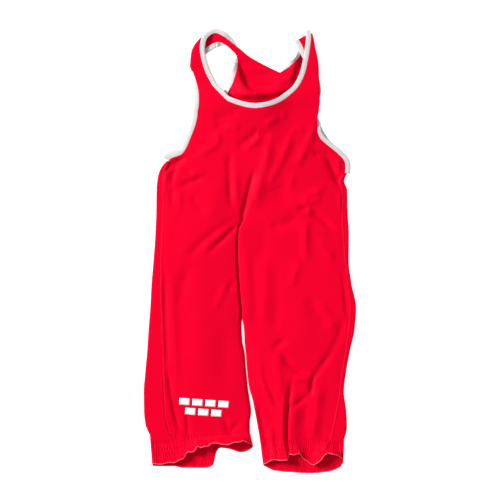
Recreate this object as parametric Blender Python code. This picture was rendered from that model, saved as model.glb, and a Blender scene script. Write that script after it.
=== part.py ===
"""A wrestling singlet laid flat, its front up: +X to the right, +Y towards the neck, +Z up from the table.

The garment is cut as a maker would cut it: a front and a racer back, joined by side seams, inseams and
short shoulder seams, with a binding round the neck and each armhole and a gathered elastic band on each leg.
The back lies on the table and wraps round both sides up to the side seams, which lie on top.
Tables hold millimetres. A panel is a grid of rows, its outline read from the tables, given a wall by
Solidify.
"""

import math
from collections import namedtuple

import bmesh
import bpy
import numpy as np

MM = 0.001
WALL = 1.2  # cloth
SEAM_GAP = 0.5  # clearance where two pieces are sewn
BINDING_WIDTH = 8.6
BINDING_THICK = 2.0
ORIGIN_SHIFT = (0.4, 1.3)  # puts the origin under the middle of the garment's box

TABLE_Z = WALL / 2  # middle of the cloth that lies on the table
FRONT_Z = 5.0  # middle of the front where it meets its seams
UNDER_Z = 3.4  # middle of a strap where it is turned under
FRONT_SAG = 0.7  # how far the front lies below its seams
INSEAM_Z = 1.95  # lower edge of the front at the inseam
INSEAM_ROUND = 4.5  # width of the rounding above the inseam

HEM_Y = -333.0  # where the legs meet their bands
CROTCH_Y = 57.6
LEFT_ARMPIT_Y = 160.2
RIGHT_ARMPIT_Y = 138.6
NECK_BASE_Y = 254.7

Side = namedtuple("Side", "y left_edge left_seam right_seam right_edge")
SIDES = [
    Side(160.2, -150.3, -146.7, 172.0, 178.2),
    Side(151.2, -158.4, -152.1, 172.0, 177.5),
    Side(138.6, -164.5, -155.2, 171.6, 174.8),
    Side(124.2, -167.4, -156.6, 163.8, 169.6),
    Side(108.0, -168.7, -156.1, 166.7, 175.1),
    Side(68.4, -169.2, -155.7, 166.7, 176.0),
    Side(25.2, -171.0, -157.9, 168.5, 178.2),
    Side(-18.0, -174.1, -159.3, 172.1, 177.8),
    Side(-61.2, -177.7, -160.2, 176.8, 182.9),
    Side(-104.4, -180.0, -158.9, 181.1, 191.2),
    Side(-144.0, -183.1, -157.9, 178.2, 188.3),
    Side(-180.0, -185.4, -156.6, 173.2, 180.4),
    Side(-219.6, -189.0, -155.2, 166.7, 173.2),
    Side(-255.6, -191.7, -153.7, 162.0, 169.2),
    Side(-291.6, -191.2, -151.2, 155.7, 173.7),
    Side(-313.2, -188.6, -147.6, 150.3, 174.6),
    Side(-333.0, -180.0, -142.2, 144.0, 169.2),
]

Inner = namedtuple("Inner", "y left right")
INSEAMS = [  # inner edge of each leg
    Inner(57.6, -16.2, -16.2),
    Inner(32.4, -23.4, -21.2),
    Inner(7.2, -24.5, -22.3),
    Inner(-34.2, -23.4, -21.2),
    Inner(-88.2, -19.4, -17.3),
    Inner(-122.4, -15.8, -13.0),
    Inner(-144.0, -15.3, -10.4),
    Inner(-165.6, -14.0, -9.4),
    Inner(-183.6, -10.1, -7.4),
    Inner(-216.0, -7.2, -5.0),
    Inner(-246.6, -4.3, -1.3),
    Inner(-270.0, -0.9, 5.0),
    Inner(-291.6, 1.8, 9.5),
    Inner(-313.2, -0.7, 14.0),
    Inner(-333.0, -0.4, 18.0),
]
CENTRE = [  # where the two halves of each panel's grid meet, from crotch to neck
    Inner(57.6, -16.2, -16.2),
    Inner(90.0, -12.2, -12.2),
    Inner(118.8, -5.4, -5.4),
    Inner(145.8, 1.8, 1.8),
    Inner(180.0, 5.4, 5.4),
    Inner(216.0, 8.1, 8.1),
    Inner(254.7, 9.0, 9.0),
]
FRONT_ARMHOLE = [
    Inner(138.6, -155.2, 171.6),
    Inner(151.2, -152.1, 172.4),
    Inner(160.2, -146.7, 170.6),
    Inner(166.3, -142.2, 166.0),
    Inner(170.1, -126.9, 162.0),
    Inner(176.4, -119.7, 155.7),
    Inner(183.6, -115.2, 146.7),
    Inner(190.8, -111.6, 137.7),
    Inner(198.0, -108.9, 129.6),
    Inner(208.8, -104.4, 123.3),
    Inner(223.2, -99.0, 121.1),
    Inner(237.6, -95.4, 121.5),
    Inner(254.7, -93.6, 124.7),
    Inner(268.2, -92.9, 125.3),
    Inner(280.8, -93.1, 125.3),
    Inner(295.2, -95.4, 124.9),
    Inner(313.2, -99.9, 123.8),
    Inner(324.0, -103.9, 123.5),
]
FRONT_NECK = [
    Inner(254.7, 9.0, 9.0),
    Inner(256.0, -3.6, 21.6),
    Inner(259.2, -16.2, 36.0),
    Inner(263.3, -28.8, 47.7),
    Inner(268.2, -40.5, 57.1),
    Inner(274.5, -47.2, 66.2),
    Inner(280.8, -53.1, 73.8),
    Inner(288.0, -59.8, 81.7),
    Inner(295.2, -66.6, 87.5),
    Inner(304.2, -71.6, 92.7),
    Inner(313.2, -76.5, 96.8),
    Inner(324.0, -81.4, 100.4),
]
BACK_ARMHOLE = [
    Inner(138.6, -162.3, 172.6),
    Inner(151.2, -156.0, 169.0),
    Inner(160.2, -148.1, 165.0),
    Inner(169.2, -126.0, 157.0),
    Inner(183.6, -99.0, 144.0),
    Inner(201.6, -79.2, 129.6),
    Inner(223.2, -66.6, 118.8),
    Inner(248.4, -56.7, 111.6),
    Inner(270.0, -47.7, 106.2),
    Inner(284.4, -39.6, 104.4),
    Inner(298.8, -31.9, 104.4),
]
BACK_CENTRE = [
    Inner(57.6, -16.2, -16.2),
    Inner(160.2, 10.0, 10.0),
    Inner(223.2, 32.0, 32.0),
    Inner(298.8, 50.0, 50.0),
]

# A strap folded lengthwise. The fold's outer edge is at (x, y); the cloth reaches from there in the direction
# of angle, upper above and lower beneath. A negative reach hasn't come to the fold yet.
Fold = namedtuple("Fold", "x y angle upper lower top_z")
LEFT_STRAP = [
    Fold(-105.7, 324.0, 0.0, 24.7, -1.3, 6.0),
    Fold(-107.3, 332.0, 0.0, 23.4, 1.0, 6.8),
    Fold(-107.2, 341.0, 2.0, 20.6, 8.0, 7.6),
    Fold(-105.3, 356.4, 8.0, 15.8, 21.1, 8.2),
    Fold(-100.3, 368.1, -4.0, 11.0, 25.6, 8.2),
    Fold(-92.3, 378.4, -14.5, 4.4, 26.6, 7.6),
    Fold(-84.1, 386.3, -32.0, -0.6, 25.6, 6.8),
]
RIGHT_STRAP = [
    Fold(123.5, 324.0, 180.0, 23.1, 8.6, 7.0),
    Fold(122.4, 338.4, 181.0, 19.3, 13.5, 7.5),
    Fold(120.2, 351.0, 184.0, 14.7, 17.5, 8.0),
    Fold(117.0, 363.6, 188.0, 9.8, 20.2, 8.2),
    Fold(115.0, 376.2, 194.0, 6.2, 23.0, 8.2),
    Fold(112.9, 385.2, 199.0, 3.6, 25.7, 8.0),
    Fold(112.0, 390.2, 202.0, 2.6, 26.1, 7.6),
]
# How high each strap rises from the base of the neck to its fold, and how far the right one's armhole edge,
# which starts to turn under lower down than the left one's, has been turned.
STRAP_RISE = {
    "y": (254.7, 268.2, 281.0, 295.2, 313.2, 324.0),
    "left": (5.0, 5.1, 5.3, 5.5, 5.8, 6.0),
    "right": (5.0, 5.8, 6.4, 6.8, 6.9, 7.0),
    "right_turn": (-0.8, 0.0, 1.6, 3.4, 5.6, 8.6),
}

# The back above its racer: sections from the armhole edge to the neck edge.
Lobe = namedtuple("Lobe", "arm_x arm_y arm_z neck_x neck_y neck_z")
LEFT_LOBE = [
    Lobe(-27.4, 311.4, 0.6, 54.0, 319.7, 0.6),
    Lobe(-24.1, 325.8, 0.6, 37.8, 327.2, 3.5),
    Lobe(-22.7, 335.7, 0.8, 21.6, 335.5, 3.4),
    Lobe(-22.5, 342.9, 3.2, 6.3, 343.8, 3.4),
    Lobe(-24.1, 348.3, 3.4, -6.3, 351.9, 3.4),
    Lobe(-27.0, 353.7, 3.4, -17.1, 361.4, 3.4),
    Lobe(-33.3, 360.0, 3.4, -27.0, 369.0, 3.5),
    Lobe(-40.5, 366.3, 3.4, -37.8, 377.1, 4.0),
    Lobe(-47.7, 371.7, 3.4, -49.5, 386.1, 4.4),
    Lobe(-54.9, 374.8, 3.4, -62.1, 391.0, 4.4),
    Lobe(-60.3, 374.0, 3.4, -74.2, 390.6, 4.2),
]
RIGHT_LOBE = [
    Lobe(105.3, 302.4, 0.6, 59.4, 319.5, 0.6),
    Lobe(108.9, 313.2, 0.6, 66.6, 327.1, 0.6),
    Lobe(111.6, 325.8, 0.6, 75.6, 334.8, 0.6),
    Lobe(114.3, 340.2, 0.6, 85.5, 344.7, 0.6),
    Lobe(115.2, 354.6, 0.6, 93.6, 358.2, 0.6),
    Lobe(113.8, 368.1, 0.6, 98.1, 370.8, 0.6),
    Lobe(110.2, 380.5, 0.6, 99.9, 380.7, 0.6),
    Lobe(109.0, 388.0, 1.8, 101.5, 387.0, 1.8),
]
VEE = (54.0, 319.7, 0.6)  # lowest point of the back's neck
VEE_ARMHOLE = (104.6, 306.0, 0.6)  # the right armhole's edge across from it

# Each leg's band: its top line and the front and back edges of its mouth, as (x, y).
LEFT_BAND = {
    "top": [(-180, -335), (0, -330)],
    "front": [(-176, -385), (-157, -384), (-140, -382), (-121, -375), (-113, -364), (-99, -360), (-94, -353),
              (-76, -353), (-70, -347), (-63, -346), (-50, -349), (-31, -346), (-14, -343), (-4, -345),
              (5, -353)],
    "back": [(-176, -389), (-137, -389), (-122, -392), (-79, -392), (-67, -387), (-60, -362), (-54, -356),
             (-38, -358), (-16, -364), (-4, -361), (5, -355)],
    "gathers": 44,
}
RIGHT_BAND = {
    "top": [(18, -341), (169, -343)],
    "front": [(24, -385), (34, -380), (47, -376), (67, -377), (72, -367), (88, -366), (96, -374), (106, -382),
              (115, -386), (126, -377), (135, -368), (142, -364), (155, -368), (168, -377)],
    "back": [(24, -388), (44, -397), (74, -400), (107, -402), (140, -399), (162, -391), (169, -379)],
    "gathers": 37,
}
GATHER_HEIGHT = 0.5
MOUTH_SWELL = 1.2  # how far the front of each mouth stands up in waves

# The largest folds of the front, as ridges (height over 0) and troughs: from (x, y) to (end_x, end_y).
Crease = namedtuple("Crease", "x y end_x end_y height width")
CREASES = [
    Crease(-14, 56, 10, 146, -2.2, 8),  # from the crotch up to the right
    Crease(6, 62, 38, 190, 3.6, 14),
    Crease(-24, 56, -104, 2, -1.8, 8),  # from the crotch down the left thigh
    Crease(-40, 40, -92, 4, 2.6, 9),
    Crease(-18, 46, -78, -12, -2.0, 8),
    Crease(-25, 150, -22, 76, 2.6, 10),  # below the left chest
    Crease(54, 160, 29, 106, 3.5, 10),  # below the right chest
    Crease(86, 155, 76, 124, 3.0, 9),
    Crease(106, 54, 102, 14, 4.5, 10),  # right hip
    Crease(102, 14, 110, -20, 4.0, 10),
    Crease(97, 81, 130, 104, 3.0, 9),
    Crease(112, 80, 158, 42, 3.5, 9),
    Crease(-104, 140, -68, 119, 2.5, 9),  # left waist
    Crease(-117, 10, -126, -300, 4.5, 16),  # down the left leg
    Crease(-60, -30, -50, -270, 4.5, 18),
    Crease(40, 0, 36, -260, 4.5, 16),  # down the right leg
    Crease(144, -150, 95, -236, 4.5, 12),  # right knee
    Crease(60, -190, 98, -222, 3.5, 10),
    Crease(88, -240, 86, -345, 5.5, 10),  # the deep fold at the right hem
    Crease(67, -280, 69, -340, -2.2, 7),
    Crease(144, -216, 135, -330, 5.0, 13),
]
CREASE_FADE = 14.0  # creases die away this far from a seam

COLUMNS = (0.0, 0.12, 0.24, 0.36, 0.48, 0.6, 0.72, 0.84, 0.94, 0.985, 1.0)  # from the side to the middle
TURN_STEPS = 4  # faces round a side's turn
FLAT_COLUMNS = (0.25, 0.5, 0.75, 1.0)  # the back's columns from that turn to the middle
LEG_ROWS = 21
STRAP_STEPS = 9
BODY_ROWS = (
    *(74, 91, 108, 124.2, 138.6, 151.2, 160.2, 166.3),
    *(170.1, 176.4, 183.6, 190.8, 198, 208.8, 223.2, 237.6),
)


def smooth_at(xs, ys, at):
    """A curve through (xs, ys) with no overshoot, read at one place or many. xs rises or falls."""
    xs, ys = np.asarray(xs, float), np.asarray(ys, float)
    if xs[0] > xs[-1]:
        xs, ys = xs[::-1], ys[::-1]
    at = np.clip(at, xs[0], xs[-1])
    steps = np.diff(xs)
    slopes = np.diff(ys) / steps
    before, after = slopes[:-1], slopes[1:]
    same = before * after > 0
    safe = np.where(same, before + after, 1.0)
    tangents = np.concatenate([slopes[:1], np.where(same, 2 * before * after / safe, 0.0), slopes[-1:]])
    i = np.clip(np.searchsorted(xs, at, side="right") - 1, 0, len(steps) - 1)
    t = (at - xs[i]) / steps[i]
    start = (1 + 2 * t) * (1 - t) ** 2 * ys[i] + t * (1 - t) ** 2 * steps[i] * tangents[i]
    return start + t * t * (3 - 2 * t) * ys[i + 1] + t * t * (t - 1) * steps[i] * tangents[i + 1]


def read(table, name, y):
    return float(smooth_at([row.y for row in table], [getattr(row, name) for row in table], y))


def ease(t):
    t = np.clip(t, 0.0, 1.0)
    return t * t * (3 - 2 * t)


def crease_lift(x, y):
    """How far the front's creases lift it at (x, y)."""
    total = 0.0
    for crease in CREASES:
        along_x, along_y = crease.end_x - crease.x, crease.end_y - crease.y
        length = math.hypot(along_x, along_y)
        t = ((x - crease.x) * along_x + (y - crease.y) * along_y) / length**2
        off = ((x - crease.x) * along_y - (y - crease.y) * along_x) / length
        taper = ease((t + 0.15) / 0.4) * ease((1.15 - t) / 0.4)
        total += crease.height * taper * math.exp(-((off / crease.width) ** 2))
    return total


def band_of(side):
    return LEFT_BAND if side == "left" else RIGHT_BAND


def hem_y(side, x):
    top = band_of(side)["top"]
    return float(smooth_at([p[0] for p in top], [p[1] for p in top], x))


def leg_y(side, x, y, row):
    """The last rows of a leg bend until the lowest one follows the top of its band."""
    share = (1.0, 0.6, 0.25)[row] if row < 3 else 0.0
    return y + share * (hem_y(side, x) - HEM_Y)


def body_rows():
    return list(np.linspace(HEM_Y, CROTCH_Y, LEG_ROWS)) + list(BODY_ROWS) + [NECK_BASE_Y]


def front_outer(side, y):
    """The front's outer edge: its side seam, or its armhole above the armpit."""
    armpit = LEFT_ARMPIT_Y if side == "left" else RIGHT_ARMPIT_Y
    if y >= armpit:
        return read(FRONT_ARMHOLE, side, y)
    seam = read(SIDES, side + "_seam", y)
    return seam + SEAM_GAP / 2 if side == "left" else seam - SEAM_GAP / 2


def middle(side, y, centre):
    return read(INSEAMS, side, y) if y < CROTCH_Y else read(centre, side, y)


def front_z(x, y, from_side, from_middle):
    z = FRONT_Z - FRONT_SAG * float(ease(from_side / 30) * ease((NECK_BASE_Y - y) / 60))
    z += crease_lift(x, y) * float(ease(from_side / CREASE_FADE) * ease((y - HEM_Y) / CREASE_FADE))
    if y <= CROTCH_Y:
        rounding = 1 - (1 - min(from_middle / INSEAM_ROUND, 1.0)) ** 2
        z = INSEAM_Z + (z - INSEAM_Z) * math.sqrt(rounding)
    return z


def front_body_row(side, y, row):
    outer, inner = front_outer(side, y), middle(side, y, CENTRE)
    points = []
    for share in COLUMNS:
        x = outer + share * (inner - outer)
        z = front_z(x, y, abs(x - outer), abs(x - inner))
        points.append((x, leg_y(side, x, y, row), z))
    return points


def folded_row(fold, count):
    """A strap folded lengthwise: count + 1 points, from its armhole edge beneath to its neck edge above."""
    radius = (fold.top_z - UNDER_Z) / 2
    quarter = math.pi * radius / 2

    def length(reach):
        if abs(reach) < radius:
            return quarter * reach / radius
        return reach + math.copysign(quarter - radius, reach)

    runs = np.linspace(length(fold.lower), -length(fold.upper), 80)
    crowding = np.cumsum(1 + 4 * np.exp(-((runs / (1.3 * quarter)) ** 2)))  # closer together round the fold
    places = np.interp(np.linspace(crowding[0], crowding[-1], count + 1), crowding, runs)
    angle = math.radians(fold.angle)
    points = []
    for run in places:
        if abs(run) <= quarter:
            inwards, z = radius - radius * math.cos(run / radius), -radius * math.sin(run / radius)
        else:
            inwards, z = radius + abs(run) - quarter, -math.copysign(radius, run)
        x, y = fold.x + inwards * math.cos(angle), fold.y + inwards * math.sin(angle)
        points.append((x, y, UNDER_Z + radius + z))
    return points


def between(table, steps):
    """Rows of a table read at even steps from its first row to its last."""
    places = range(len(table))
    kind = type(table[0])
    for step in range(steps + 1):
        at = step * (len(table) - 1) / steps
        fields = range(len(kind._fields))
        yield kind(*(float(smooth_at(places, [row[i] for row in table], at)) for i in fields))


def front_neck_row(side, y):
    """A row of a strap between the base of the neck and its fold."""
    outer, neck = read(FRONT_ARMHOLE, side, y), read(FRONT_NECK, side, y)
    top = float(np.interp(y, STRAP_RISE["y"], STRAP_RISE[side]))
    if side == "left":
        return [(outer + share * (neck - outer), y, top) for share in COLUMNS]
    lower = float(np.interp(y, STRAP_RISE["y"], STRAP_RISE["right_turn"]))
    return folded_row(Fold(outer, y, 180.0, outer - neck, lower, top), len(COLUMNS) - 1)


def front_rows(side):
    """The half of the front on one side, from hem to shoulder, each row from left to right."""
    rows = [front_body_row(side, y, row) for row, y in enumerate(body_rows())]
    rows += [front_neck_row(side, row.y) for row in FRONT_NECK[1:-1]]
    strap = LEFT_STRAP if side == "left" else RIGHT_STRAP
    rows += [folded_row(fold, len(COLUMNS) - 1) for fold in between(strap, STRAP_STEPS)]
    return [row if side == "left" else row[::-1] for row in rows]


def back_wrap_row(side, y, row):
    """From the side seam on top, round the side's turn, to the inseam or the middle on the table."""
    outward = -1 if side == "left" else 1
    radius = (FRONT_Z - TABLE_Z) / 2
    seam = read(SIDES, side + "_seam", y) + outward * SEAM_GAP / 2
    turn = read(SIDES, side + "_edge", y) - outward * (radius + WALL / 2)
    inner = middle(side, y, BACK_CENTRE)
    places = [(seam, FRONT_Z), ((seam + turn) / 2, FRONT_Z)]
    for step in range(TURN_STEPS + 1):
        angle = math.pi * step / TURN_STEPS
        x, z = turn + outward * radius * math.sin(angle), TABLE_Z + radius + radius * math.cos(angle)
        places.append((x, z))
    places += [(turn + share * (inner - turn), TABLE_Z) for share in FLAT_COLUMNS]
    return [(x, leg_y(side, x, y, row), z) for x, z in places]


def back_flat_row(side, y):
    edge, inner = read(BACK_ARMHOLE, side, y), read(BACK_CENTRE, side, y)
    return [(edge + share * (inner - edge), y, TABLE_Z) for share in (0.0, *FLAT_COLUMNS)]


def lobe_row(lobe):
    arm, neck = np.array(lobe[:3]), np.array(lobe[3:])
    return [tuple(arm + share * (neck - arm)) for share in (0.0, *FLAT_COLUMNS)]


def back_grids(side):
    """The half of the back on one side: the rows that wrap round the side, and those above the armpit."""
    armpit = LEFT_ARMPIT_Y if side == "left" else RIGHT_ARMPIT_Y
    ys = [y for y in body_rows() if y <= armpit]
    wrapped = [back_wrap_row(side, y, row) for row, y in enumerate(ys)]
    above = [y for y in body_rows() + [270.0, 284.4, 298.8] if y > armpit]
    flat = [wrapped[-1][-len(FLAT_COLUMNS) - 1 :]] + [back_flat_row(side, y) for y in above]
    if side == "left":
        flat += [lobe_row(lobe) for lobe in LEFT_LOBE]
        last = list(between(LEFT_STRAP, STRAP_STEPS))[-1]
        angle = math.radians(last.angle)
        past_x, past_y = last.x - SEAM_GAP * math.sin(angle), last.y + SEAM_GAP * math.cos(angle)
        past_seam = last._replace(x=past_x, y=past_y)
        flat.append(folded_row(past_seam, len(FLAT_COLUMNS)))
        return wrapped, flat
    flat.append(lobe_row(Lobe(*VEE_ARMHOLE, *VEE)))
    flat += [lobe_row(lobe) for lobe in RIGHT_LOBE[1:]]
    return [row[::-1] for row in wrapped], [row[::-1] for row in flat]


def material(name, colour, roughness):
    made = bpy.data.materials.new(name)
    made.use_nodes = True
    shader = made.node_tree.nodes["Principled BSDF"]
    shader.inputs["Base Color"].default_value = (*colour, 1.0)
    shader.inputs["Roughness"].default_value = roughness
    shader.inputs["Metallic"].default_value = 0.0
    return made


def add_object(name, mesh, finish):
    obj = bpy.data.objects.new(name, mesh)
    mesh.materials.append(finish)
    mesh.shade_smooth()
    bpy.context.scene.collection.objects.link(obj)
    obj.parent = bpy.data.objects["singlet"]
    return obj


def add_cloth(name, grids, finish, around=False):
    """Grids of points joined where they meet, given a wall. around joins each row's end to its start."""
    shape = bmesh.new()
    for grid in grids:
        made = [[shape.verts.new([c * MM for c in point]) for point in row] for row in grid]
        count = len(made[0])
        for low, high in zip(made, made[1:]):
            for j in range(count if around else count - 1):
                k = (j + 1) % count
                shape.faces.new((low[j], low[k], high[k], high[j]))
    bmesh.ops.remove_doubles(shape, verts=shape.verts, dist=0.00001)
    mesh = bpy.data.meshes.new(name)
    shape.to_mesh(mesh)
    shape.free()
    obj = add_object(name, mesh, finish)
    wall = obj.modifiers.new("wall", "SOLIDIFY")
    wall.thickness = WALL * MM
    wall.offset = 0.0
    return obj


def binding_section(edge, outwards, normal, width):
    """Six points round a binding whose inner side lies SEAM_GAP beyond the panel's edge."""
    half = BINDING_THICK / 2
    corners = ((0, 0.45), (0.35, 1), (1, 0.55), (1, -0.55), (0.35, -1), (0, -0.45))
    return [edge + outwards * (SEAM_GAP + across * width) + normal * up * half for across, up in corners]


def add_binding(name, edge, inside, finish, tucks=None):
    """A binding along a panel's edge. inside holds the panel's next points; tucks, 0 to 1, push it under."""
    edge, inside = np.array(edge), np.array(inside)
    tucks = np.zeros(len(edge)) if tucks is None else np.array(tucks)
    along = np.gradient(edge, axis=0)
    along /= np.linalg.norm(along, axis=1)[:, None]
    away = edge - inside
    across = away - (away * along).sum(axis=1)[:, None] * along
    across /= np.linalg.norm(across, axis=1)[:, None]
    normals = np.cross(along, across)
    normals *= np.sign(np.median(normals[:, 2])) or 1.0
    shape = bmesh.new()
    rings = []
    for point, out, normal, tuck in zip(edge, across, normals, tucks):
        width = BINDING_WIDTH * (1 - 0.62 * abs(out[2])) * (1 - 0.55 * tuck)
        place = point - out * (width + 2 * SEAM_GAP) * ease((tuck - 0.35) / 0.65)
        place[2] -= (WALL + BINDING_THICK + SEAM_GAP) / 2 * 1.15 * ease(tuck / 0.35)
        section = np.array(binding_section(place, out, normal, width))
        section[:, 2] += max(0.05 - section[:, 2].min(), 0.0)
        rings.append([shape.verts.new(corner * MM) for corner in section])
    for low, high in zip(rings, rings[1:]):
        for j in range(len(low)):
            k = (j + 1) % len(low)
            shape.faces.new((low[j], low[k], high[k], high[j]))
    shape.faces.new(rings[0][::-1])
    shape.faces.new(rings[-1])
    bmesh.ops.recalc_face_normals(shape, faces=shape.faces)
    mesh = bpy.data.meshes.new(name)
    shape.to_mesh(mesh)
    shape.free()
    return add_object(name, mesh, finish)


def band_rows(side):
    """The rings of a leg's band, from its mouth up to the leg. It is a flattened tube, gathered on top."""
    band = band_of(side)
    radius = (FRONT_Z - TABLE_Z) / 2
    gathers = band["gathers"]
    fronts, backs = np.linspace(0, 1, 3 * gathers + 1), np.linspace(1, 0, 19)
    places = [(share, FRONT_Z, "front", 0.0) for share in fronts]
    turns = [math.pi * step / TURN_STEPS for step in range(1, TURN_STEPS)]
    places += [(1.0, TABLE_Z + radius + radius * math.cos(turn), "turn", math.sin(turn)) for turn in turns]
    places += [(share, TABLE_Z, "back", 0.0) for share in backs]
    places += [(0.0, TABLE_Z + radius - radius * math.cos(turn), "turn", -math.sin(turn)) for turn in turns]
    ends = {key: (band[key][0][0] + radius, band[key][-1][0] - radius) for key in ("top", "front")}
    rows = []
    for down in (1.0, 0.5, 0.0):
        row = []
        for share, z, part, out in places:
            top_x, low_x = (ends[key][0] + share * (ends[key][1] - ends[key][0]) for key in ("top", "front"))
            top_y = hem_y(side, top_x) - SEAM_GAP
            front_y, back_y = (float(smooth_at(*zip(*band[key]), low_x)) for key in ("front", "back"))
            lift = (z - TABLE_Z) / (FRONT_Z - TABLE_Z)
            low_y = lift * front_y + (1 - lift) * back_y
            x = top_x + down * (low_x - top_x) + out * radius
            if part == "front":
                z += GATHER_HEIGHT * math.sin(2 * math.pi * gathers * share)
                z += MOUTH_SWELL * down * (0.5 + 0.5 * math.sin(9 * share + 1))
            row.append((x, top_y + down * (low_y - top_y), z))
        rows.append(row)
    return rows


def column(rows, index):
    return [row[index] for row in rows]


def build():
    for obj in list(bpy.data.objects):
        bpy.data.objects.remove(obj, do_unlink=True)
    root = bpy.data.objects.new("singlet", None)
    root.location = (ORIGIN_SHIFT[0] * MM, ORIGIN_SHIFT[1] * MM, 0.0)
    bpy.context.scene.collection.objects.link(root)
    red = material("red_stretch_knit", (0.80, 0.004, 0.03), 0.62)
    white = material("white_rib_binding", (0.86, 0.85, 0.86), 0.75)

    left, right = front_rows("left"), front_rows("right")
    add_cloth("front_panel", [left, right], red)
    left_wrap, left_back = back_grids("left")
    right_wrap, right_back = back_grids("right")
    add_cloth("back_panel", [left_wrap, left_back, right_wrap, right_back], red)
    for side in ("left", "right"):
        add_cloth(side + "_leg_band", [band_rows(side)], red, around=True)

    base = len(body_rows()) - 1
    neck_edge = column(left[:base:-1], -1) + column(right[base:], 0)
    neck_inside = column(left[:base:-1], -2) + column(right[base:], 1)
    neck_inside[len(left) - 1 - base] = left[base - 1][-1]
    add_binding("front_neck_binding", neck_edge, neck_inside, white)
    for side, rows, edge, inside in (("left", left, 0, 1), ("right", right, -1, -2)):
        armpit = LEFT_ARMPIT_Y if side == "left" else RIGHT_ARMPIT_Y
        start = body_rows().index(armpit)
        outer, inner = np.array(column(rows[start:], edge)), np.array(column(rows[start:], inside))
        outer[0] += (outer[1] - outer[0]) * 0.25  # clear of the back, which turns the side there
        add_binding(side + "_armhole_front_binding", outer, inner, white)

    lobe = len(LEFT_LOBE)
    arm_tucks = [0.0] * (len(left_back) - lobe - 1) + [0, 0, 0, 0.35, 0.8, 1, 1, 1, 0.6, 0.2, 0, 0]
    add_binding("left_armhole_back_binding", column(left_back, 0), column(left_back, 1), white, arm_tucks)
    neck_tucks = [1, 1, 1, 1, 1, 1, 0.7, 0.3, 0, 0, 0, 0]
    shoulder = left_back[-lobe:]
    add_binding("back_neck_left_binding", column(shoulder, -1), column(shoulder, -2), white, neck_tucks)
    shoulder = right_back[len(right_back) - len(RIGHT_LOBE) :]
    add_binding("back_neck_right_binding", column(shoulder, 0), column(shoulder, 1), white)
    add_binding("right_armhole_back_binding", column(right_back, -1), column(right_back, -2), white)


build()
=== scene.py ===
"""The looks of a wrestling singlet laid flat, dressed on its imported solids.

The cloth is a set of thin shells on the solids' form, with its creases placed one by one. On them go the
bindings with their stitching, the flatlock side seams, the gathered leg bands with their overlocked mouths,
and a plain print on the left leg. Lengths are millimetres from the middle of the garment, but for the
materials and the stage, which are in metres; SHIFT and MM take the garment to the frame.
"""

import math
from collections import namedtuple

import bmesh
import bpy
import numpy as np
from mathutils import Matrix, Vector


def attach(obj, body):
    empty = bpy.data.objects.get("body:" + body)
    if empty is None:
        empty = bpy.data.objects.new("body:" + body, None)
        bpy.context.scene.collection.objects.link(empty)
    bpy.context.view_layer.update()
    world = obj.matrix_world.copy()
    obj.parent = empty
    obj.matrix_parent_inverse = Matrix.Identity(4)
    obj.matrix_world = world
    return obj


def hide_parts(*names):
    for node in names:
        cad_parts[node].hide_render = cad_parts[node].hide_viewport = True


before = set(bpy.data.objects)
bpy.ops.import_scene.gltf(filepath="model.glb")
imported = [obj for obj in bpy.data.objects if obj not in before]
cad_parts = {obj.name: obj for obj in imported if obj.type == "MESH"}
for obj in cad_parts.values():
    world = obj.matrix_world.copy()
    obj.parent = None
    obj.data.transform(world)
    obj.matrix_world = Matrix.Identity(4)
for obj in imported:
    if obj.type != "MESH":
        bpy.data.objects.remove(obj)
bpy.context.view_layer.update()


def table(kind, rows):
    return [kind(*row) for row in rows]


MM = 0.001
SHIFT = (0.4, 1.3)
CLOTH = 0.9  # thickness of the knit
BINDING_WIDTH = 8.6
BINDING_THICK = 2.0
SEAM_GAP = 0.5  # between a panel's edge and its binding
HALF_SEAM = 0.1  # from a side seam's line to each panel

TABLE_Z = 0.5  # middle of the cloth that lies on the table
FRONT_Z = 5.0  # middle of the front where it meets its seams
UNDER_Z = 3.4  # middle of a strap where it is turned under
Inseam = namedtuple("Inseam", "z round")
INSEAM = {"left": Inseam(1.3, 9.0), "right": Inseam(5.2, 3.4)}
TURN_RADIUS = (FRONT_Z - TABLE_Z) / 2  # of the cloth where it turns round a side
TURN_GAP = 0.15
OUTWARD = {"left": -1, "right": 1}

# The right leg's edge lies over the left one's between these heights.
OVERLAP_FROM, OVERLAP_TO = -136.0, 50.0
LEG_OVERLAP = 1.4
BACK_LEG_OVERLAP = -0.5
OVERLAP_LIFT, OVERLAP_WIDTH = 2.0, 22.0
SLIT = 4.4  # width of the low strip of the left leg beside the right one's edge
SLIT_ROUND = 3.4
SLIT_BOW = 4.8  # the slit between the legs bows to the right
BOW_TO = 130.0

HEM_Y = -333.0
HEM_BEND, HEM_BEND_POWER = 58.6, 1.26  # height over which the legs' rows bend to follow their bands
CROTCH_Y = 57.6
ARMPIT_Y = {"left": 160.2, "right": 138.6}
NECK_BASE_Y = 254.7
FRONT_SAG = 0.7
# A ring of the front round the neck stands off the back, up to top.
Ring = namedtuple("Ring", "x y across along width height top")
NECK_RING = Ring(10.0, 324.0, 90.0, 70.0, 0.55, 8.5, 305.0)

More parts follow.
